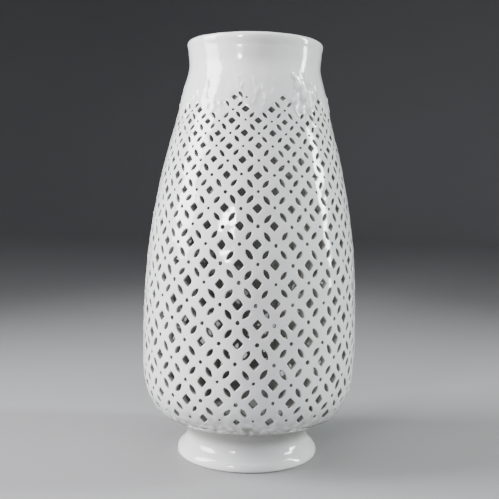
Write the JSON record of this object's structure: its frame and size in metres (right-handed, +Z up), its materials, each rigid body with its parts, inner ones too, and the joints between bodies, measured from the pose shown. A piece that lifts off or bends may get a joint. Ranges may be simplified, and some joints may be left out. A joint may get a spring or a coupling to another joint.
{
  "type": "openwork vase",
  "caption": "Tall openwork vase with a pierced lattice body, a plain waisted neck with a rolled lip, and a flared cushion foot.",
  "frame": {"origin": "centre of the foot, on the plane that the vase stands on", "axes": "+Z up along the axis of the vase; the openwork is centred on -Y, the side seen from the front"},
  "size_m": [0.156, 0.156, 0.3],
  "materials": {
    "glazed_porcelain": "clear glossy glaze over white porcelain, pooled in the corners and slightly uneven"
  },
  "bodies": {
    "root": {"foot_ring": "glazed_porcelain", "floor_disc": "glazed_porcelain", "lower_body": "glazed_porcelain", "middle_body": "glazed_porcelain", "upper_body": "glazed_porcelain", "neck_collar": "glazed_porcelain", "rolled_lip": "glazed_porcelain"}
  },
  "joints": []
}
